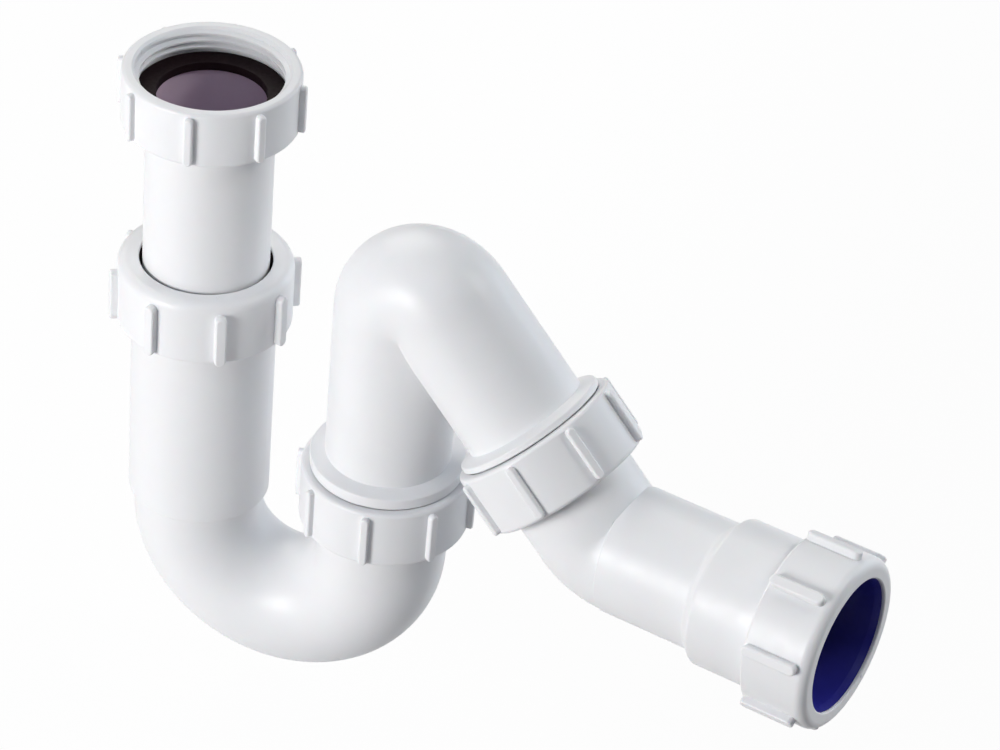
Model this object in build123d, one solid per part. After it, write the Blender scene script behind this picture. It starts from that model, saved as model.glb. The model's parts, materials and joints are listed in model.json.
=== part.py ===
from build123d import *
import os
from math import radians, tan

# Adjustable swivel waste trap for a 1 1/2 inch sink waste, in millimetres.
# The origin is on the inlet axis at the sealing face of the inlet washer, with +Z up the inlet
# and +X from the inlet leg towards the rising leg of the U-bend.

# Clearances
FACE_GAP = 0.15         # flat faces that turn on each other
TURN_GAP = 0.35         # round faces that turn or slide past each other
WELD_GAP = 0.05         # glue line of a solvent-welded socket
SEAT_GAP = 0.10         # relaxed rubber over its conical seat

# Tubes, by outside radius and wall
TUBE_R = 20.35          # inlet tube
TUBE_WALL = 2.3
U_BEND_R = 21.5
U_BEND_WALL = 2.3
SWIVEL_R = 20.6
SWIVEL_WALL = 2.3
OUTLET_R = 20.9         # outlet bend
OUTLET_WALL = 2.8
PIPE_R = 21.5           # 43 mm waste pipe that the outlet takes

# Union nuts, at the inlet, the U-bend and the outlet bend
FLANGE_STEP = 1.9       # flange of a captive tube, beyond the widest of these tubes
FLANGE_T = 3.0
FLANGE_CLEARANCE = 0.6  # flange to the root of the nut's thread
UNION_WALL = 4.0        # outside the root of the thread
UNION_FLOOR = 4.2       # inward rim that pulls on the flange
UNION_RELIEF = 0.4      # plain widening behind the thread
UNION_LEAD_IN = 0.8     # chamfer at the mouth of the thread
UNION_RIM_ROUND = 1.2
UNION_END_ROUND = 1.4
THREAD_DEPTH = 8.8      # from the rim to the relief
THREAD_HEIGHT = 1.5     # from the root of the nut's thread to the root of the spigot's
WASHER_T = 2.8          # inlet washer
WASHER_CLEARANCE = 0.2
WASHER_HOLE_R = 17.3

# Spigots that screw into the joint nuts
SPIGOT_DEPTH = 11.0     # below the nut's rim
SPIGOT_LEAD_IN = 0.8
JOINT_SEAL_T = 2.5
COLLAR_STEP = 1.4       # collar beyond the root of the nut's thread
TRAP_COLLAR_T = 4.0     # collar of the rising end
ELBOW_COLLAR_T = 2.2    # collar of the falling end
COLLAR_RISE = 1.4       # slope of the collar's upper face
COLLAR_ROUND = 0.6
COLLAR_GAP = 0.35       # from the nut's rim to the collar

# Compression nuts, at the telescopic joint and the outlet
CLAMP_LENGTH = 22.2
CLAMP_WALL = 2.4        # outside the root of the thread
CLAMP_LIP = 1.0         # thickness of the front wall at the pipe hole
CLAMP_CONE = 4.4        # depth at which the inside cone reaches the thread
CLAMP_FACE_ROUND = 3.2
CLAMP_BACK_ROUND = 0.8
CLAMP_HOLE_ROUND = 0.5
CLAMP_THREAD = 1.0      # from the root of the stud's thread to the root of the nut's
STUD_STEP = 0.5         # threaded stud beyond the wider of the two tubes that end in one
STUD_LENGTH = 13.0
STUD_RUNOUT = 2.0       # slope from the thread down to the tube

# Tapered rubber rings under the compression nuts
TAPER_RIM = 2.2         # straight edge between the two tapers
TAPER_RIM_GAP = 0.6     # inside the root of the nut's thread
MOUTH_LIP = 0.6         # flat end of the stud around its conical mouth
MOUTH_CONE = 12.5       # depth of that cone
MOUTH_LEDGE = 0.8       # step from the cone's narrow end to the bore
TAPER_TIP_GAP = 0.3     # from the rubber's thin end to that step
SEAL_LEAD_IN = 2.4      # depth of the flare at the rubber's front edge
SEAL_EDGE = 0.15        # flat around that flare

# Grips, moulded along the outside of both kinds of nut
GRIP_COUNT = 8
GRIP_ROOT = 1.0         # how far a grip is rooted in the nut's wall
GRIP_EDGE = 0.7         # rounding of a grip's outer edges
UNION_GRIP_WIDTH = 2.8
UNION_GRIP_PROUD = 2.0
UNION_GRIP_FRONT = 1.3  # from the nut's rim
UNION_GRIP_BACK = 1.0   # from the nut's other end
CLAMP_GRIP_WIDTH = 3.6
CLAMP_GRIP_PROUD = 2.6
CLAMP_GRIP_FRONT = 3.2
CLAMP_GRIP_BACK = 0.4

# Inlet tube and the leg that it slides in
TUBE_LENGTH = 93.0      # below the washer's sealing face
TUBE_END_ROUND = 0.8
ADJUSTER_DROP = 61.4    # sealing face to the adjuster nut's face
TUBE_HOLE_SLACK = 1.05  # adjuster nut's hole around the tube
LEG_CLEARANCE = 0.6     # around the sliding tube
LEG_WALL = 1.85         # outside the wider of the leg's bore and its foot's socket
LEG_FOOT_DROP = 152.6   # sealing face to the leg's lower end
LEG_FOOT_ROUND = 0.8
FOOT_SOCKET = 10.0      # depth of the welded socket in the leg's foot

# U-bend and swivel bend
LEG_SPACING = 66.0
BEND_DROP = 157.5       # sealing face to the centre of the U
TRAP_NUT_DROP = 122.9   # sealing face to the trap nut's rim
SWIVEL_BEND_R = 10.4
SWIVEL_ANGLE = 135.0
SWIVEL_TURN = -9.6      # bearing of the falling leg from +X
SWIVEL_DROP = 60.85     # sealing face to the start of the bend
FALL_LENGTH = 46.5      # end of the bend to the elbow nut's rim

# Outlet bend and socket
OUTLET_BEND_R = 16.0
OUTLET_ANGLE = 47.2
OUTLET_TURN = 185.7     # bearing of the outlet about the falling leg
CORNER_RUN = 90.1       # end of the swivel bend to the outlet's corner
SLEEVE_STEP = 0.4       # sleeve of the socket beyond the outlet bend
SLEEVE_START = 7.4      # from the corner to the sleeve's end ring
SLEEVE_END_ROUND = 0.5
WELD_DEPTH = 12.0       # of the bend's spigot in the sleeve
WELD_WALL = 1.6         # of that spigot
SOCKET_WALL = 2.75
SOCKET_STEP = 40.0      # from the corner to the step up to the socket
SOCKET_STEP_RUN = 2.9
SOCKET_STEP_ROUND = 1.6
SOCKET_BACK_WALL = 2.6  # pipe stop behind the socket's bore
OUTLET_FACE = 86.7      # from the corner to the outlet nut's face
PIPE_CLEARANCE = 0.25
PIPE_HOLE_SLACK = 0.75  # outlet nut's hole around the pipe

# Bearing of the first grip of each nut about its own axis, in degrees
INLET_NUT_PHASE = 9.5
ADJUSTER_NUT_PHASE = 33.0
TRAP_NUT_PHASE = 7.5
ELBOW_NUT_PHASE = 16.0
OUTLET_NUT_PHASE = 26.5

# Radii that follow from the tubes, so that each joint still fits when a tube changes
FLANGE_R = max(TUBE_R, U_BEND_R, OUTLET_R) + FLANGE_STEP
UNION_BORE_R = FLANGE_R + FLANGE_CLEARANCE
UNION_R = UNION_BORE_R + UNION_WALL
WASHER_R = UNION_BORE_R - WASHER_CLEARANCE
SPIGOT_R = UNION_BORE_R - THREAD_HEIGHT
COLLAR_R = UNION_BORE_R + COLLAR_STEP
LEG_BORE_R = TUBE_R + LEG_CLEARANCE
LEG_R = max(LEG_BORE_R, U_BEND_R + WELD_GAP) + LEG_WALL
PIPE_BORE_R = PIPE_R + PIPE_CLEARANCE
SOCKET_R = PIPE_BORE_R + SOCKET_WALL
STUD_R = max(LEG_R, SOCKET_R) + STUD_STEP
CLAMP_BORE_R = STUD_R + CLAMP_THREAD
CLAMP_R = CLAMP_BORE_R + CLAMP_WALL
OUTLET_BORE_R = OUTLET_R - OUTLET_WALL
WELD_SPIGOT_R = OUTLET_BORE_R + WELD_WALL
SLEEVE_R = OUTLET_R + SLEEVE_STEP

# Depths inside the nuts, from a union nut's rim or a compression nut's face
INLET_NUT_DEPTH = THREAD_DEPTH + WASHER_T + FLANGE_T + FACE_GAP
JOINT_NUT_DEPTH = SPIGOT_DEPTH + JOINT_SEAL_T + FLANGE_T + 2 * FACE_GAP
JOINT_SEAL_DEPTH = SPIGOT_DEPTH + FACE_GAP
MOUTH_DEPTH = CLAMP_CONE + TAPER_RIM + 2 * SEAT_GAP
STUD_END = MOUTH_DEPTH + STUD_LENGTH


def turned(points, rounds=None):
    """Solid of revolution about Z from (radius, height) points; rounds maps a point's index to a fillet."""
    outline = make_face(Polyline(*points, close=True))
    for index, radius in (rounds or {}).items():
        corner = Vector(*points[index])
        outline = fillet(outline.vertices().sort_by_distance(corner)[0], radius)
    return revolve(Plane.XZ * outline, Axis.Z)


def rod(radius, bottom, top):
    """Plain cylinder on the Z axis between two heights."""
    return Pos(0, 0, bottom) * Cylinder(radius, top - bottom, align=(Align.CENTER, Align.CENTER, Align.MIN))


def bend(radius, bend_radius, angle):
    """Round bend that leaves the origin along +Z and turns towards +X; sharp inside when it is tight."""
    reach = radius + bend_radius
    outer_side = Pos(bend_radius - reach / 2, 0) * Rectangle(reach, 2 * reach)
    section = Circle(radius) & outer_side
    return revolve(section, Axis((bend_radius, 0, 0), (0, 1, 0)), angle)


def turn(bend_radius, angle):
    """Location that carries the start of a bend to its end."""
    return Pos(bend_radius, 0, 0) * Rot(0, angle, 0) * Pos(-bend_radius, 0, 0)


def grips(nut_radius, width, proud, top, bottom, phase):
    """Ring of round-ended bars along the outside of a nut, between two heights."""
    outline = SlotOverall(top - bottom, width, rotation=90)
    bar = extrude(outline, GRIP_ROOT + proud)
    bar = fillet(bar.faces().sort_by(Axis.Z)[-1].edges(), GRIP_EDGE)
    root = (nut_radius - GRIP_ROOT, 0, (top + bottom) / 2)
    upright = Plane(origin=root, x_dir=(0, 1, 0), z_dir=(1, 0, 0))
    return [Rot(0, 0, phase + 360 / GRIP_COUNT * n) * upright.location * bar for n in range(GRIP_COUNT)]


def union_nut(depth, hole_radius, phase):
    """Captive nut with its thread's mouth at height 0, opening towards +Z."""
    back = -depth - UNION_FLOOR
    relief = UNION_BORE_R + UNION_RELIEF
    body = turned(
        [(UNION_BORE_R + UNION_LEAD_IN, 0), (UNION_R, 0), (UNION_R, back), (hole_radius, back),
         (hole_radius, -depth), (relief, -depth), (relief, -THREAD_DEPTH),
         (UNION_BORE_R, -THREAD_DEPTH), (UNION_BORE_R, -UNION_LEAD_IN)],
        {1: UNION_RIM_ROUND, 2: UNION_END_ROUND})
    grip_span = (-UNION_GRIP_FRONT, back + UNION_GRIP_BACK)
    return body + grips(UNION_R, UNION_GRIP_WIDTH, UNION_GRIP_PROUD, *grip_span, phase)


def compression_nut(hole_radius, phase):
    """Nut with its pipe hole in the face at height 0 and its thread opening towards -Z."""
    body = turned(
        [(hole_radius, 0), (CLAMP_R, 0), (CLAMP_R, -CLAMP_LENGTH), (CLAMP_BORE_R, -CLAMP_LENGTH),
         (CLAMP_BORE_R, -CLAMP_CONE), (hole_radius, -CLAMP_LIP)],
        {0: CLAMP_HOLE_ROUND, 1: CLAMP_FACE_ROUND, 2: CLAMP_BACK_ROUND})
    grip_span = (-CLAMP_GRIP_FRONT, CLAMP_GRIP_BACK - CLAMP_LENGTH)
    return body + grips(CLAMP_R, CLAMP_GRIP_WIDTH, CLAMP_GRIP_PROUD, *grip_span, phase)


def tapered_seal(inner_radius, hole_radius, bore_radius):
    """Rubber ring between a compression nut's inside cone and a socket's conical mouth."""
    front = -CLAMP_LIP - SEAT_GAP
    shoulder = -CLAMP_CONE - SEAT_GAP
    rim_end = shoulder - TAPER_RIM
    tip = rim_end - MOUTH_CONE + TAPER_TIP_GAP
    rim_radius = CLAMP_BORE_R - TAPER_RIM_GAP
    mouth_radius = STUD_R - MOUTH_LIP - SEAT_GAP
    tip_radius = bore_radius + MOUTH_LEDGE - SEAT_GAP
    return turned(
        [(inner_radius, front - SEAL_LEAD_IN), (hole_radius - SEAL_EDGE, front), (hole_radius, front),
         (rim_radius, shoulder), (rim_radius, rim_end), (mouth_radius, rim_end),
         (tip_radius, tip), (inner_radius, tip)])


def threaded_stud(tube_radius):
    """Solid end of a tube under a compression nut, with its conical mouth cut later."""
    tube_start = -STUD_END - STUD_RUNOUT
    return turned(
        [(0, -MOUTH_DEPTH), (STUD_R, -MOUTH_DEPTH), (STUD_R, -STUD_END), (tube_radius, tube_start),
         (0, tube_start)])


def mouth_cut(bore_radius):
    """Conical mouth that a tapered seal is pressed into."""
    cone_end = -MOUTH_DEPTH - MOUTH_CONE
    return turned(
        [(0, -MOUTH_DEPTH), (STUD_R - MOUTH_LIP, -MOUTH_DEPTH), (bore_radius + MOUTH_LEDGE, cone_end),
         (0, cone_end)])


def flange():
    """Flange that a joint nut with its rim at height 0 pulls up."""
    seat = -JOINT_NUT_DEPTH + FACE_GAP
    return rod(FLANGE_R, seat, seat + FLANGE_T)


def joint_seal(inner_radius):
    """Flat rubber ring between a captive flange and a spigot."""
    bottom = -JOINT_SEAL_DEPTH - JOINT_SEAL_T
    return rod(SPIGOT_R, bottom, -JOINT_SEAL_DEPTH) - rod(inner_radius, bottom, -JOINT_SEAL_DEPTH)


def spigot(tube_radius, collar_thickness):
    """Collar and threaded end that screw into a joint nut with its rim at height 0."""
    end = -SPIGOT_DEPTH
    collar_top = COLLAR_GAP + collar_thickness
    return turned(
        [(0, end), (SPIGOT_R - SPIGOT_LEAD_IN, end), (SPIGOT_R, end + SPIGOT_LEAD_IN),
         (SPIGOT_R, COLLAR_GAP), (COLLAR_R, COLLAR_GAP), (COLLAR_R, collar_top),
         (tube_radius, collar_top + COLLAR_RISE), (0, collar_top + COLLAR_RISE)],
        {4: COLLAR_ROUND, 5: COLLAR_ROUND})


# Places of the joints, each with its nut's open rim or face at height 0
INLET = Pos(0, 0, THREAD_DEPTH)
ADJUSTER = Pos(0, 0, -ADJUSTER_DROP)
TRAP_JOINT = Pos(LEG_SPACING, 0, -TRAP_NUT_DROP)
SWIVEL_START = Pos(LEG_SPACING, 0, -SWIVEL_DROP) * Rot(0, 0, SWIVEL_TURN)
FALL = SWIVEL_START * turn(SWIVEL_BEND_R, SWIVEL_ANGLE)
ELBOW_JOINT = FALL * Pos(0, 0, FALL_LENGTH) * Rot(180, 0, 0)
BEND_RUN = OUTLET_BEND_R * tan(radians(OUTLET_ANGLE / 2))
ELBOW_START = FALL * Pos(0, 0, CORNER_RUN - BEND_RUN) * Rot(0, 0, OUTLET_TURN)
OUTLET_RUN = ELBOW_START * turn(OUTLET_BEND_R, OUTLET_ANGLE) * Pos(0, 0, -BEND_RUN)
OUTLET = OUTLET_RUN * Pos(0, 0, OUTLET_FACE)


def inlet_washer():
    return rod(WASHER_R, -WASHER_T, 0) - rod(WASHER_HOLE_R, -WASHER_T, 0)


def inlet_tube():
    bore = TUBE_R - TUBE_WALL
    seat = -WASHER_T - FLANGE_T
    return turned(
        [(bore, -WASHER_T), (FLANGE_R, -WASHER_T), (FLANGE_R, seat), (TUBE_R, seat),
         (TUBE_R, -TUBE_LENGTH), (bore, -TUBE_LENGTH)],
        {4: TUBE_END_ROUND})


def inlet_leg():
    foot = -LEG_FOOT_DROP
    socket_top = foot + FOOT_SOCKET
    body = rod(LEG_R, foot, -ADJUSTER_DROP - STUD_END)
    body = fillet(body.edges().group_by(Axis.Z)[0], LEG_FOOT_ROUND)
    body += ADJUSTER * threaded_stud(LEG_R)
    body -= rod(LEG_BORE_R, socket_top, -ADJUSTER_DROP)
    body -= ADJUSTER * mouth_cut(LEG_BORE_R)
    return body - rod(U_BEND_R + WELD_GAP, foot, socket_top)


def u_bend():
    centre = Pos(0, 0, -BEND_DROP) * Rot(180, 0, 0)
    spigot_top = -LEG_FOOT_DROP + FOOT_SOCKET - WELD_GAP
    flange_top = -TRAP_NUT_DROP - JOINT_SEAL_DEPTH - JOINT_SEAL_T

    def passage(radius):
        solid = centre * bend(radius, LEG_SPACING / 2, 180)
        solid += rod(radius, -BEND_DROP, spigot_top)
        return solid + Pos(LEG_SPACING, 0, 0) * rod(radius, -BEND_DROP, flange_top)

    return passage(U_BEND_R) + TRAP_JOINT * flange() - passage(U_BEND_R - U_BEND_WALL)


def swivel_bend():
    rise = TRAP_NUT_DROP - SWIVEL_DROP
    rise_to_collar = rise - COLLAR_GAP - TRAP_COLLAR_T
    fall_to_collar = FALL_LENGTH - COLLAR_GAP - ELBOW_COLLAR_T

    def passage(radius, lower_end, upper_end):
        solid = SWIVEL_START * (bend(radius, SWIVEL_BEND_R, SWIVEL_ANGLE) + rod(radius, -lower_end, 0))
        return solid + FALL * rod(radius, 0, upper_end)

    outside = passage(SWIVEL_R, rise_to_collar, fall_to_collar)
    outside += TRAP_JOINT * spigot(SWIVEL_R, TRAP_COLLAR_T)
    outside += ELBOW_JOINT * spigot(SWIVEL_R, ELBOW_COLLAR_T)
    return outside - passage(SWIVEL_R - SWIVEL_WALL, rise + SPIGOT_DEPTH, FALL_LENGTH + SPIGOT_DEPTH)


def outlet_bend():
    flange_start = FALL_LENGTH + JOINT_SEAL_DEPTH + JOINT_SEAL_T
    tail = SLEEVE_START + WELD_DEPTH

    def passage(radius, end):
        solid = FALL * rod(radius, flange_start, CORNER_RUN - BEND_RUN)
        solid += ELBOW_START * bend(radius, OUTLET_BEND_R, OUTLET_ANGLE)
        return solid + OUTLET_RUN * rod(radius, BEND_RUN, end)

    outside = passage(OUTLET_R, SLEEVE_START) - OUTLET_RUN * rod(SLEEVE_R, SLEEVE_START, tail)
    outside += OUTLET_RUN * rod(WELD_SPIGOT_R, SLEEVE_START, tail)
    outside += ELBOW_JOINT * flange()
    return outside - passage(OUTLET_BORE_R, tail)


def outlet_socket():
    weld_end = SLEEVE_START + WELD_DEPTH
    step_end = SOCKET_STEP + SOCKET_STEP_RUN
    bore_start = step_end + SOCKET_BACK_WALL
    stud_back = OUTLET_FACE - STUD_END
    body = turned(
        [(0, SLEEVE_START), (SLEEVE_R, SLEEVE_START), (SLEEVE_R, SOCKET_STEP), (SOCKET_R, step_end),
         (SOCKET_R, stud_back), (0, stud_back)],
        {1: SLEEVE_END_ROUND, 2: SOCKET_STEP_ROUND, 3: SOCKET_STEP_ROUND})
    body += Pos(0, 0, OUTLET_FACE) * threaded_stud(SOCKET_R)
    body -= rod(WELD_SPIGOT_R + WELD_GAP, SLEEVE_START, weld_end)
    body -= rod(OUTLET_BORE_R, weld_end, bore_start)
    body -= rod(PIPE_BORE_R, bore_start, OUTLET_FACE - MOUTH_DEPTH)
    body -= Pos(0, 0, OUTLET_FACE) * mouth_cut(PIPE_BORE_R)
    return OUTLET_RUN * body


def all_parts():
    tube_hole = TUBE_R + TUBE_HOLE_SLACK
    pipe_hole = PIPE_R + PIPE_HOLE_SLACK
    return {
        "inlet_nut": INLET * union_nut(INLET_NUT_DEPTH, TUBE_R + TURN_GAP, INLET_NUT_PHASE),
        "inlet_washer": inlet_washer(),
        "inlet_tube": inlet_tube(),
        "adjuster_nut": ADJUSTER * compression_nut(tube_hole, ADJUSTER_NUT_PHASE),
        "adjuster_seal": ADJUSTER * tapered_seal(TUBE_R + TURN_GAP, tube_hole, LEG_BORE_R),
        "inlet_leg": inlet_leg(),
        "u_bend": u_bend(),
        "trap_nut": TRAP_JOINT * union_nut(JOINT_NUT_DEPTH, U_BEND_R + TURN_GAP, TRAP_NUT_PHASE),
        "trap_seal": TRAP_JOINT * joint_seal(U_BEND_R - U_BEND_WALL),
        "swivel_bend": swivel_bend(),
        "elbow_nut": ELBOW_JOINT * union_nut(JOINT_NUT_DEPTH, OUTLET_R + TURN_GAP, ELBOW_NUT_PHASE),
        "elbow_seal": ELBOW_JOINT * joint_seal(OUTLET_BORE_R),
        "outlet_bend": outlet_bend(),
        "outlet_socket": outlet_socket(),
        "outlet_seal": OUTLET * tapered_seal(PIPE_BORE_R, pipe_hole, PIPE_BORE_R),
        "outlet_nut": OUTLET * compression_nut(pipe_hole, OUTLET_NUT_PHASE),
    }


os.makedirs("parts", exist_ok=True)
for name, solid in all_parts().items():
    export_step(solid, f"parts/{name}.step")
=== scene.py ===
import json
import math
from collections import namedtuple

import bmesh
import bpy
from mathutils import Matrix, Vector


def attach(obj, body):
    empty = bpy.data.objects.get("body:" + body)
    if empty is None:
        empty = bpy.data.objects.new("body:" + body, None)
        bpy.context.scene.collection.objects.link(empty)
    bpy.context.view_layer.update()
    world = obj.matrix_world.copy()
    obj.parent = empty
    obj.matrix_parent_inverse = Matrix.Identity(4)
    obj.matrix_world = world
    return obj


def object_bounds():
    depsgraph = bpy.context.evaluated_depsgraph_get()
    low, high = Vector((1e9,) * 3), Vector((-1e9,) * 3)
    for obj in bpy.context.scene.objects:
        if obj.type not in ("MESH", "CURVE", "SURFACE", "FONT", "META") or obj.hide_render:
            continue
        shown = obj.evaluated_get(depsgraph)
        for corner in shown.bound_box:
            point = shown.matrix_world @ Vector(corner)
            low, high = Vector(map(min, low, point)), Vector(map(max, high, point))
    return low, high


# Looks of an adjustable swivel waste trap: satin white mouldings, rubber seals and screw threads.
# Lengths are in metres in the frame of the solids: +Z up the inlet, +X towards the outlet.

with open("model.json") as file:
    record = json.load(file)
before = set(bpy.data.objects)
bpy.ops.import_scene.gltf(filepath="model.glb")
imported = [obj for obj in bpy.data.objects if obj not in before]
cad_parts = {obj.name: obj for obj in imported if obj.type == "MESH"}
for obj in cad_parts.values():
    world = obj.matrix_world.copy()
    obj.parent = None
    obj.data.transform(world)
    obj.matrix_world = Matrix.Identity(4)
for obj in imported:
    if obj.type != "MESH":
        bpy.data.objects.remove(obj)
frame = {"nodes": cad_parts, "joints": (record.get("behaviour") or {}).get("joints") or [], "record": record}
cad_low, cad_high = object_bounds()

MM = 0.001

# Camera, at the place and angle of the photograph, with its angles in degrees
CAMERA_PLACE = (0.3540, -0.8419, 0.5689)
CAMERA_AZIMUTH = 16.714
CAMERA_ELEVATION = 36.263
CAMERA_ROLL = 5.509
SENSOR_WIDTH = 36.0            # in millimetres
FOCAL_IN_WIDTHS = 3.463        # focal length as a multiple of the image's width
NEAREST_SEEN = 0.01
FARTHEST_SEEN = 20.0

# Screw threads: radius of the wall that carries the ridge, radius of its crest, and its ends along the axis
Thread = namedtuple("Thread", "root crest top bottom")
UNION_BORE = 24.0 * MM         # inside the inlet nut and both union nuts
INLET_NUT_THREAD = Thread(root=UNION_BORE, crest=22.6 * MM, top=8.4 * MM, bottom=0.3 * MM)
UNION_NUT_THREAD = Thread(root=UNION_BORE, crest=23.45 * MM, top=-0.6 * MM, bottom=-8.6 * MM)
SPIGOT_THREAD = Thread(root=22.5 * MM, crest=23.2 * MM, top=0.9 * MM, bottom=-10.0 * MM)
CLAMP_NUT_THREAD = Thread(root=26.0 * MM, crest=25.7 * MM, top=-7.0 * MM, bottom=-21.0 * MM)
STUD_THREAD = Thread(root=25.0 * MM, crest=25.45 * MM, top=-7.4 * MM, bottom=-19.4 * MM)

# Form of a thread's ridge
PITCH = 2.31 * MM              # 11 turns to the inch
STEPS_PER_TURN = 96
RIDGE_SINK = 0.15 * MM         # how far it is rooted in its wall
RIDGE_FOOT = 0.44 * PITCH      # half its width at the wall
RIDGE_TIP = 0.12 * PITCH       # half its width at the crest
FADE_TURNS = 0.25              # over which it rises at each end
FADE_START = 0.08              # share of its height at the very end

# Gate marks on the faces of the compression nuts, and the side of the axis that each lies on
GATE_RADIUS = 0.7 * MM
GATE_RISE = 0.25 * MM
GATE_RING = 23.3 * MM          # from the nut's axis
GATE_SEGMENTS = 24
GATE_SIDES = {"adjuster_nut": (0.545, -0.838, 0), "outlet_nut": (0, 0.5, -0.8)}

# Moulded finishes: detail of their noise, and the span that most of a noise's values lie in
Bump = namedtuple("Bump", "scale strength distance")
MOTTLE_DETAIL = 4.0
GLOSS_DETAIL = 3.0
SKIN_DETAIL = 2.0
NOISE_SPAN = (0.3, 0.7)

# Painted purple shade inside the inlet tube's bore, and the width over which it fades
BoreShade = namedtuple("BoreShade", "light dark radius")
INLET_BORE_SHADE = BoreShade(light=(0.66, 0.54, 0.65), dark=(0.56, 0.44, 0.55), radius=18.2 * MM)
BORE_SHADE_EDGE = 1.0 * MM

# Floor
FLOOR_HALF = 3.0
FLOOR_GAP = 17.0 * MM          # under the part at rest, so that its leg can slide out
FLOOR_LIGHT = (0.80, 0.80, 0.81)
FLOOR_DARK = (0.28, 0.28, 0.29)
FLOOR_SHADE = (0.0, 0.2)       # along X, where its colour starts and stops darkening
FLOOR_GLOW = 0.97              # share of plain white in what the eye sees of it

# Studio
LAMP_DISTANCE = 1.3            # from the middle of the part
PLAIN = (1.0, 0.99, 0.98)
WARM = (1.0, 0.985, 0.95)
COOL = (0.82, 0.90, 1.0)
WALL_COLOUR = (0.02, 0.02, 0.024, 1)
BACKDROP_COLOUR = (0.98, 0.98, 0.98, 1)


def mesh_object(name, bm):
    """Links a finished bmesh as an object."""
    bmesh.ops.recalc_face_normals(bm, faces=bm.faces)
    mesh = bpy.data.meshes.new(name)
    bm.to_mesh(mesh)
    bm.free()
    obj = bpy.data.objects.new(name, mesh)
    bpy.context.scene.collection.objects.link(obj)
    return obj


def joint_line(joint_name):
    """A joint's place and the unit direction of its axis."""
    joint = next(j for j in frame["joints"] if j["name"] == joint_name)
    return Vector(joint["pos_m"]), Vector(joint["axis"]).normalized()


def facing(place, axis):
    """Matrix with its origin at a place and +Z along an axis."""
    return Matrix.Translation(place) @ axis.to_track_quat("Z", "Y").to_matrix().to_4x4()


def joint_place(joint_name, flip=False):
    """Matrix with its origin at a joint and +Z along the joint's axis, or against it."""
    place, axis = joint_line(joint_name)
    return facing(place, -axis if flip else axis)


class Nodes:
    """Short way to add nodes to a material or world and join them."""

    def __init__(self, owner):
        owner.use_nodes = True
        self.tree = owner.node_tree
        self.tree.nodes.clear()

    def add(self, kind, **settings):
        node = self.tree.nodes.new(kind)
        for key, value in settings.items():
            setattr(node, key, value)
        return node

    def link(self, source, target):
        self.tree.links.new(source, target)

    def noise(self, vector, scale, detail):
        node = self.add("ShaderNodeTexNoise")
        node.inputs["Scale"].default_value = scale
        node.inputs["Detail"].default_value = detail
        self.link(vector, node.inputs["Vector"])
        return node.outputs["Fac"]

    def remap(self, value, low, high, to_low, to_high):
        """A value carried from one span to another, and held at its ends."""
        node = self.add("ShaderNodeMapRange")
        node.inputs["From Min"].default_value = low
        node.inputs["From Max"].default_value = high
        node.inputs["To Min"].default_value = to_low
        node.inputs["To Max"].default_value = to_high
        self.link(value, node.inputs["Value"])
        return node.outputs["Result"]

    def mix(self, factor, first, second):
        """Blend of two colours, each a plain colour or the output of another node."""
        node = self.add("ShaderNodeMix", data_type="RGBA")
        for socket, colour in (("A", first), ("B", second)):
            if isinstance(colour, tuple):
                node.inputs[socket].default_value = (*colour, 1)
            else:
                self.link(colour, node.inputs[socket])
        self.link(factor, node.inputs["Factor"])
        return node.outputs["Result"]

    def radius_about_z(self, vector):
        flat = self.add("ShaderNodeVectorMath", operation="MULTIPLY")
        flat.inputs[1].default_value = (1, 1, 0)
        self.link(vector, flat.inputs[0])
        length = self.add("ShaderNodeVectorMath", operation="LENGTH")
        self.link(flat.outputs["Vector"], length.inputs[0])
        return length.outputs["Value"]

    def bump(self, height, strength, distance, normal=None):
        """Surface normal roughened by a height, on top of another normal if one is given."""
        node = self.add("ShaderNodeBump")
        node.inputs["Strength"].default_value = strength
        node.inputs["Distance"].default_value = distance
        self.link(height, node.inputs["Height"])
        if normal is not None:
            self.link(normal, node.inputs["Normal"])
        return node.outputs["Normal"]

    def blend(self, factor, first, second):
        """Blend of two shaders."""
        node = self.add("ShaderNodeMixShader")
        self.link(factor, node.inputs["Fac"])
        self.link(first, node.inputs[1])
        self.link(second, node.inputs[2])
        return node.outputs["Shader"]

    def show(self, shader, output="ShaderNodeOutputMaterial"):
        """Makes a shader the one that the material or world shows."""
        self.link(shader, self.add(output).inputs["Surface"])


def moulded(name, tints, mottle_scale, roughness, gloss_scale, bumps, settings, bore_shade=None):
    """Moulded material: mottled colour, uneven gloss and a fine skin, all in the piece's own coordinates.

    tints are the two colours of the mottle, and roughness the two ends of the gloss. Inside the radius about
    the Z axis given for a bore's painted shade, its light and dark colours take the place of the tints.
    """
    material = bpy.data.materials.new(name)
    nodes = Nodes(material)
    shader = nodes.add("ShaderNodeBsdfPrincipled")
    place = nodes.add("ShaderNodeTexCoord").outputs["Object"]

    mottle = nodes.noise(place, mottle_scale, MOTTLE_DETAIL)
    colour = nodes.mix(mottle, *tints)
    # Painted shade: inside the given radius about Z the colour turns to a darker purple, for the shade deep
    # in a bore.
    if bore_shade is not None:
        inside = nodes.remap(nodes.radius_about_z(place), bore_shade.radius + BORE_SHADE_EDGE, bore_shade.radius, 0, 1)
        colour = nodes.mix(inside, colour, nodes.mix(mottle, bore_shade.light, bore_shade.dark))
    nodes.link(colour, shader.inputs["Base Color"])

    gloss = nodes.remap(nodes.noise(place, gloss_scale, GLOSS_DETAIL), *NOISE_SPAN, *roughness)
    nodes.link(gloss, shader.inputs["Roughness"])

    normal = None
    for bump in bumps:
        skin = nodes.noise(place, bump.scale, SKIN_DETAIL)
        normal = nodes.bump(skin, bump.strength, bump.distance, normal)
    nodes.link(normal, shader.inputs["Normal"])

    for socket, value in settings.items():
        shader.inputs[socket].default_value = value
    nodes.show(shader.outputs["BSDF"])
    return material


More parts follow.
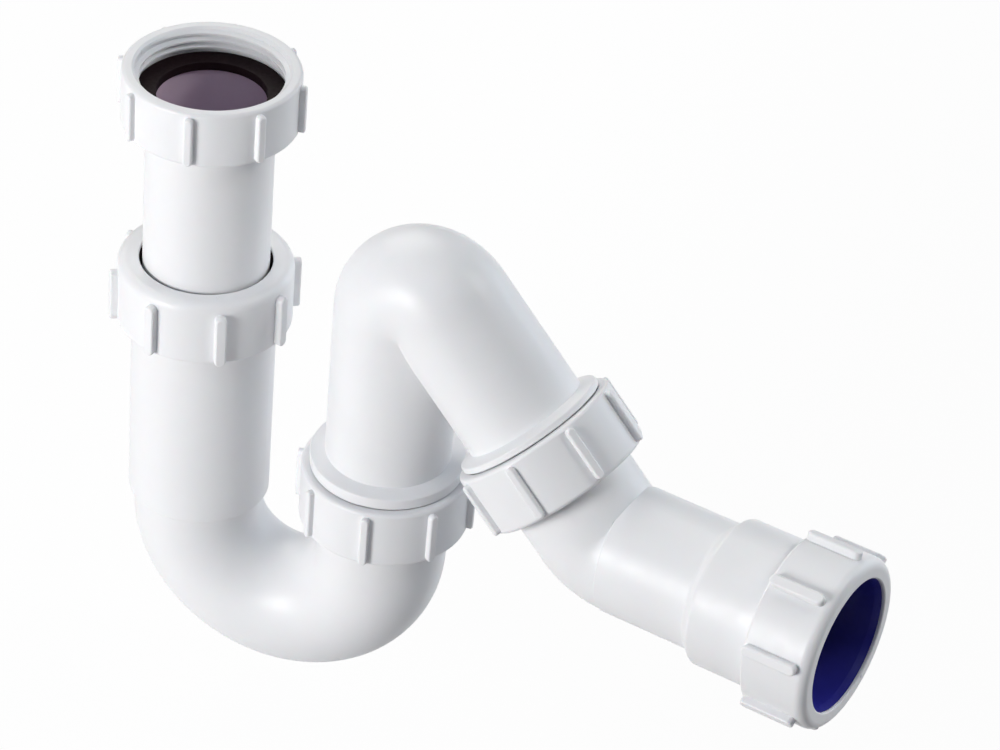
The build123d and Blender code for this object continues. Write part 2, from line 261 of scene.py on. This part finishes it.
def white_plastic(name="white_polypropylene", bore_shade=None):
    """Satin white plastic, which lets a little light into its skin."""
    return moulded(
        name,
        tints=((0.79, 0.795, 0.81), (0.83, 0.832, 0.845)),
        mottle_scale=60.0,
        roughness=(0.38, 0.46),
        gloss_scale=260.0,
        bumps=[
            Bump(scale=240.0, strength=0.10, distance=0.10 * MM),
            Bump(scale=2600.0, strength=0.08, distance=0.02 * MM)],
        settings={"IOR": 1.49, "Subsurface Weight": 0.08, "Subsurface Scale": 1.5 * MM},
        bore_shade=bore_shade)


def dark_rubber():
    """Nearly black, dull rubber of the inlet's washer and of every seal but the outlet's."""
    return moulded(
        "dark_rubber",
        tints=((0.009, 0.004, 0.005), (0.016, 0.007, 0.009)),
        mottle_scale=300.0,
        roughness=(0.55, 0.70),
        gloss_scale=700.0,
        bumps=[
            Bump(scale=900.0, strength=0.25, distance=0.06 * MM),
            Bump(scale=5000.0, strength=0.15, distance=0.02 * MM)],
        settings={"IOR": 1.52, "Specular IOR Level": 0.12})


def blue_rubber():
    """Deep blue rubber of the outlet's seal."""
    return moulded(
        "blue_rubber",
        tints=((0.014, 0.014, 0.22), (0.020, 0.020, 0.28)),
        mottle_scale=260.0,
        roughness=(0.34, 0.46),
        gloss_scale=700.0,
        bumps=[
            Bump(scale=900.0, strength=0.15, distance=0.05 * MM),
            Bump(scale=5000.0, strength=0.10, distance=0.02 * MM)],
        settings={"IOR": 1.52})


SLOT_MATERIALS = {
    "white_plastic": white_plastic(),
    "dark_rubber": dark_rubber(),
    "blue_rubber": blue_rubber(),
}

# Solids whose finish differs from that of their slot
NODE_MATERIALS = {
    # The inlet tube's bore is given painted purple shade.
    "inlet_tube": white_plastic("bore_shaded_polypropylene", bore_shade=INLET_BORE_SHADE),
}


def dress_solids():
    """Gives every solid its own finish, or else the finish of its slot in the record."""
    for part in frame["record"]["subparts"]:
        node = part["node"]
        slots = frame["nodes"][node].data.materials
        slots.clear()
        slots.append(NODE_MATERIALS.get(node, SLOT_MATERIALS[part["material_slot"]]))


def screw_thread(name, body, place, form):
    """Helical ridge on a round wall, rooted in the wall and fading out at both ends."""
    outward = 1 if form.crest > form.root else -1
    base = form.root - outward * RIDGE_SINK
    turns = (form.top - form.bottom - PITCH) / PITCH
    steps = int(turns * STEPS_PER_TURN)
    fade = FADE_TURNS * STEPS_PER_TURN
    bm = bmesh.new()
    rings = []
    for step in range(steps + 1):
        angle = 2 * math.pi * step / STEPS_PER_TURN
        height = form.bottom + PITCH / 2 + PITCH * step / STEPS_PER_TURN
        grown = min(1.0, step / fade, (steps - step) / fade)
        reach = form.root + (form.crest - form.root) * (FADE_START + (1 - FADE_START) * grown)
        section = [
            (base, -RIDGE_FOOT), (form.root, -RIDGE_FOOT), (reach, -RIDGE_TIP),
            (reach, RIDGE_TIP), (form.root, RIDGE_FOOT), (base, RIDGE_FOOT)]
        rings.append([
            bm.verts.new((r * math.cos(angle), r * math.sin(angle), height + z)) for r, z in section])
    for near, far in zip(rings, rings[1:]):
        for i in range(len(near)):
            j = (i + 1) % len(near)
            bm.faces.new((near[i], near[j], far[j], far[i]))
    bm.faces.new(rings[0])
    bm.faces.new(rings[-1])
    thread = mesh_object(name, bm)
    thread.data.transform(place)
    thread.data.materials.append(SLOT_MATERIALS["white_plastic"])
    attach(thread, body)


def threads():
    """The screw threads, each on the solid wall that carries it."""
    screw_thread("inlet_nut_thread", "inlet_nut", Matrix.Identity(4), INLET_NUT_THREAD)
    unions = {"trap": joint_place("swivel_turn"), "elbow": joint_place("elbow_turn", flip=True)}
    for union, place in unions.items():
        screw_thread(f"{union}_spigot_thread", "swivel_bend", place, SPIGOT_THREAD)
        screw_thread(f"{union}_nut_thread", f"{union}_nut", place, UNION_NUT_THREAD)
    for nut, stud, body in (
            ("adjuster_nut", "inlet_leg", "trap_body"),
            ("outlet_nut", "outlet_socket", "outlet_elbow")):
        place = joint_place(f"{nut}_turn")
        screw_thread(f"{nut}_thread", nut, place, CLAMP_NUT_THREAD)
        screw_thread(f"{stud}_thread", body, place, STUD_THREAD)


def gate_mark(name, body, joint_name, side):
    """Low pip that the mould's gate left on a nut's face, to one side of its joint's axis."""
    place, axis = joint_line(joint_name)
    out = Vector(side)
    out = (out - axis * out.dot(axis)).normalized()
    bm = bmesh.new()
    bmesh.ops.create_uvsphere(
        bm, u_segments=GATE_SEGMENTS, v_segments=GATE_SEGMENTS // 2, radius=GATE_RADIUS)
    bmesh.ops.scale(bm, vec=(1, 1, GATE_RISE / GATE_RADIUS), verts=bm.verts)
    mark = mesh_object(name, bm)
    mark.data.transform(facing(place + out * GATE_RING, axis))
    mark.data.materials.append(SLOT_MATERIALS["white_plastic"])
    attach(mark, body)


def gate_marks():
    """One gate mark on the face of each compression nut, close to its pipe hole."""
    for nut, side in GATE_SIDES.items():
        gate_mark(f"{nut}_gate", nut, f"{nut}_turn", side)


def white_sweep():
    """Floor's material: plain white to the eye, and darker on the right to light that bounces off it."""
    material = bpy.data.materials.new("white_sweep")
    nodes = Nodes(material)
    across = nodes.add("ShaderNodeSeparateXYZ")
    nodes.link(nodes.add("ShaderNodeTexCoord").outputs["Object"], across.inputs["Vector"])
    shade = nodes.remap(across.outputs["X"], *FLOOR_SHADE, 0, 1)
    matt = nodes.add("ShaderNodeBsdfDiffuse")
    nodes.link(nodes.mix(shade, FLOOR_LIGHT, FLOOR_DARK), matt.inputs["Color"])
    glow = nodes.add("ShaderNodeEmission")
    rays = nodes.add("ShaderNodeLightPath")
    seen = nodes.add("ShaderNodeMath", operation="MAXIMUM")
    nodes.link(rays.outputs["Is Camera Ray"], seen.inputs[0])
    nodes.link(rays.outputs["Is Glossy Ray"], seen.inputs[1])
    share = nodes.remap(seen.outputs["Value"], 0, 1, 0, FLOOR_GLOW)
    nodes.show(nodes.blend(share, matt.outputs["BSDF"], glow.outputs["Emission"]))
    return material


def floor():
    """Flat sweep under the part."""
    half = FLOOR_HALF
    height = cad_low.z - FLOOR_GAP
    corners = [(-half, -half), (half, -half), (half, half), (-half, half)]
    bm = bmesh.new()
    bm.faces.new([bm.verts.new((x, y, height)) for x, y in corners])
    plane = mesh_object("floor", bm)
    plane.data.materials.append(white_sweep())


def surroundings():
    """Dim studio around the lamps, plain white to the eye."""
    world = bpy.data.worlds.new("studio")
    bpy.context.scene.world = world
    nodes = Nodes(world)
    walls = nodes.add("ShaderNodeBackground")
    walls.inputs["Color"].default_value = WALL_COLOUR
    backdrop = nodes.add("ShaderNodeBackground")
    backdrop.inputs["Color"].default_value = BACKDROP_COLOUR
    seen = nodes.add("ShaderNodeLightPath").outputs["Is Camera Ray"]
    studio = nodes.blend(seen, walls.outputs["Background"], backdrop.outputs["Background"])
    nodes.show(studio, output="ShaderNodeOutputWorld")


def bearing(azimuth, elevation):
    """Direction from the part, in degrees: azimuth from the front, elevation from the floor."""
    turn = math.radians(azimuth)
    lift = math.radians(elevation)
    return Vector((math.sin(turn) * math.cos(lift), -math.cos(turn) * math.cos(lift), math.sin(lift)))


def soft_box(name, azimuth, elevation, side, power, colour):
    """Square studio lamp that faces the middle of the part."""
    lamp = bpy.data.lights.new(name, "AREA")
    lamp.shape = "SQUARE"
    lamp.size = side
    lamp.energy = power
    lamp.color = colour
    away = bearing(azimuth, elevation)
    obj = bpy.data.objects.new(name, lamp)
    obj.location = (cad_low + cad_high) / 2 + LAMP_DISTANCE * away
    obj.rotation_euler = (-away).to_track_quat("-Z", "Y").to_euler()
    bpy.context.scene.collection.objects.link(obj)


def lamps():
    """Five soft boxes around the part, with the key lamp low at the front left."""
    soft_box("key_lamp", azimuth=-32, elevation=12, side=0.45, power=13.0, colour=PLAIN)
    soft_box("left_lamp", azimuth=225, elevation=40, side=0.9, power=7.4, colour=WARM)
    soft_box("right_lamp", azimuth=112, elevation=45, side=0.4, power=5.4, colour=WARM)
    soft_box("low_lamp", azimuth=138, elevation=15, side=0.9, power=6.8, colour=COOL)
    soft_box("top_lamp", azimuth=0, elevation=65, side=0.9, power=3.5, colour=COOL)


def camera():
    """The photograph's camera, rolled about its line of sight."""
    turn = math.radians(CAMERA_AZIMUTH)
    roll = math.radians(CAMERA_ROLL)
    back = bearing(CAMERA_AZIMUTH, CAMERA_ELEVATION)
    level = Vector((math.cos(turn), math.sin(turn), 0))
    up = back.cross(level)
    right = math.cos(roll) * level + math.sin(roll) * up
    upright = math.cos(roll) * up - math.sin(roll) * level
    lens = bpy.data.cameras.new("camera")
    lens.sensor_width = SENSOR_WIDTH
    lens.lens = SENSOR_WIDTH * FOCAL_IN_WIDTHS
    lens.clip_start = NEAREST_SEEN
    lens.clip_end = FARTHEST_SEEN
    obj = bpy.data.objects.new("camera", lens)
    axes = Matrix((right, upright, back)).transposed().to_4x4()
    obj.matrix_world = Matrix.Translation(CAMERA_PLACE) @ axes
    bpy.context.scene.collection.objects.link(obj)
    bpy.context.scene.camera = obj


dress_solids()
threads()
gate_marks()
floor()
surroundings()
lamps()
camera()
bpy.context.scene.view_settings.view_transform = "Standard"
